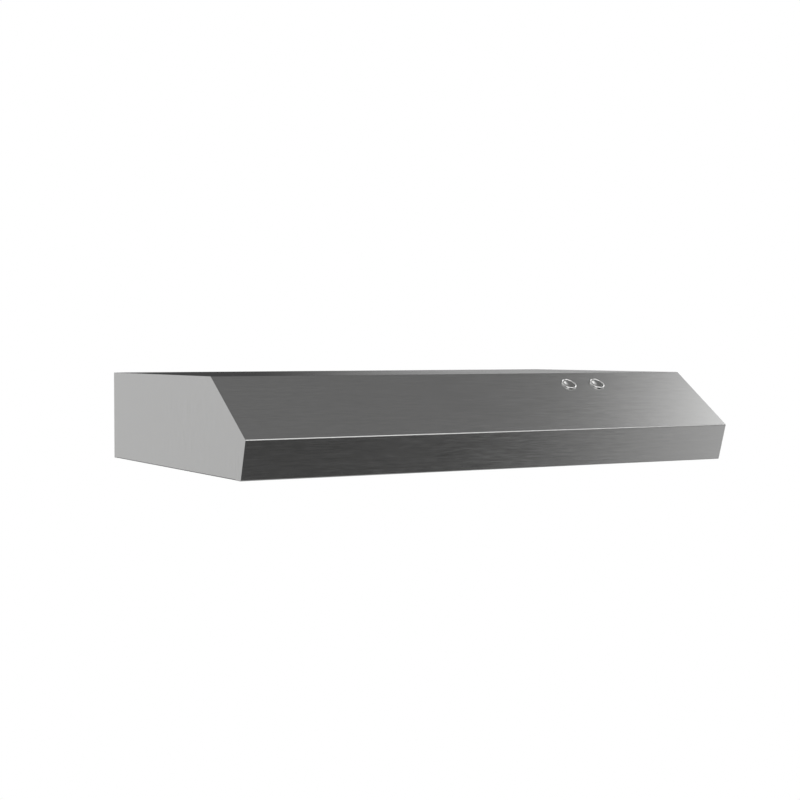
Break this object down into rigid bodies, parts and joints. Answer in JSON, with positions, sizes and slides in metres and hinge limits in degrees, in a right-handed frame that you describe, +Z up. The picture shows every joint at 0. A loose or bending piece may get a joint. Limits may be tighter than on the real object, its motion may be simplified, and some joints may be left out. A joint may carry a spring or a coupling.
{
  "type": "under-cabinet range hood",
  "caption": "Low stainless steel under-cabinet range hood with a sloping front, push buttons, mesh grease filters, lamps, a flat blower and a rear outlet with a flap.",
  "frame": {"origin": "centre of the rectangle of cabinet screw holes, on the top face", "axes": "+Z up out of the top face, -Y out of the front, +X to the right seen from the front"},
  "size_m": [0.76, 0.5087, 0.126],
  "materials": {
    "stainless": "horizontal brushed grain",
    "trim": "satin",
    "hardware": "zinc plated",
    "galvanised": "galvanised spangle",
    "filter_rim": "satin",
    "filter_mesh": "expanded metal",
    "latch": "satin",
    "flap": "mill finish",
    "bezel": "polished",
    "button": "circular brushed",
    "lens": "frosted",
    "lamp_body": "anodised",
    "led": "phosphor",
    "motor": "satin black",
    "bush": "sintered",
    "switch": "moulded",
    "terminal": "moulded",
    "capacitor": "moulded",
    "lead_black": "extruded",
    "lead_white": "extruded"
  },
  "bodies": {
    "hood": {"canopy": "stainless", "side_left": "stainless", "side_right": "stainless", "back_panel": "stainless", "light_panel": "stainless", "filter_rail_back": "stainless", "filter_rail_centre": "stainless", "filter_rail_left": "stainless", "filter_rail_right": "stainless", "latch_keepers": "stainless", "lamp_trim_left": "trim", "lamp_trim_right": "trim", "light_panel_screws": "hardware", "wiring_screws": "hardware", "collar_screws": "hardware", "motor_screws": "hardware", "blower_nuts": "hardware", "switch_nuts": "hardware", "blower_studs": "hardware", "light_panel_brackets": "galvanised", "scroll_top": "galvanised", "scroll_wall": "galvanised", "scroll_base": "galvanised", "inlet_ring": "galvanised", "damper_collar": "galvanised", "wiring_box": "galvanised", "wiring_cover": "galvanised", "capacitor_clip": "galvanised", "bezel_light": "bezel", "bezel_fan": "bezel", "lamp_lens_left": "lens", "lamp_lens_right": "lens", "lamp_body_left": "lamp_body", "lamp_body_right": "lamp_body", "lamp_led_left": "led", "lamp_led_right": "led", "motor_can": "motor", "motor_bush": "bush", "switch_light": "switch", "switch_fan": "switch", "terminal_block": "terminal", "capacitor": "capacitor", "motor_lead": "lead_black", "lamp_lead": "lead_white"},
    "blower": {"wheel_disc": "galvanised", "wheel_rim": "galvanised", "wheel_blades": "galvanised", "motor_shaft": "hardware"},
    "damper": {"damper_flap": "flap", "damper_axle": "hardware"},
    "filter_left": {"filter_frame_left": "filter_rim", "filter_mesh_left": "filter_mesh", "latch_guides_left": "filter_rim"},
    "filter_right": {"filter_frame_right": "filter_rim", "filter_mesh_right": "filter_mesh", "latch_guides_right": "filter_rim"},
    "latch_left": {"latch_left": "latch"},
    "latch_right": {"latch_right": "latch"},
    "button_light": {"button_light": "button"},
    "button_fan": {"button_fan": "button"}
  },
  "joints": [
    {"name": "blower_spin", "type": "hinge", "parent": "hood", "child": "blower", "pos_m": [-0.035, 0.01, -0.05], "axis": [0, 0, 1], "continuous": true},
    {"name": "damper_swing", "type": "hinge", "parent": "hood", "child": "damper", "pos_m": [0, 0.2005, -0.0095], "axis": [1, 0, 0], "range_deg": [0, 75]},
    {"name": "filter_left_tilt", "type": "hinge", "parent": "hood", "child": "filter_left", "pos_m": [-0.178, 0.1655, -0.1145], "axis": [1, 0, 0], "range_deg": [0, 80]},
    {"name": "filter_right_tilt", "type": "hinge", "parent": "hood", "child": "filter_right", "pos_m": [0.178, 0.1655, -0.1145], "axis": [1, 0, 0], "range_deg": [0, 80]},
    {"name": "latch_left_slide", "type": "slide", "parent": "filter_left", "child": "latch_left", "axis": [0, 1, 0], "range_m": [0, 0.006], "stiffness_N_per_m": 150, "springref_m": -0.002},
    {"name": "latch_right_slide", "type": "slide", "parent": "filter_right", "child": "latch_right", "axis": [0, 1, 0], "range_m": [0, 0.006], "stiffness_N_per_m": 150, "springref_m": -0.002},
    {"name": "button_light_press", "type": "slide", "parent": "hood", "child": "button_light", "axis": [0, 0.5704, -0.8214], "range_m": [0, 0.002], "stiffness_N_per_m": 800, "springref_m": -0.0005},
    {"name": "button_fan_press", "type": "slide", "parent": "hood", "child": "button_fan", "axis": [0, 0.5704, -0.8214], "range_m": [0, 0.002], "stiffness_N_per_m": 800, "springref_m": -0.0005}
  ]
}
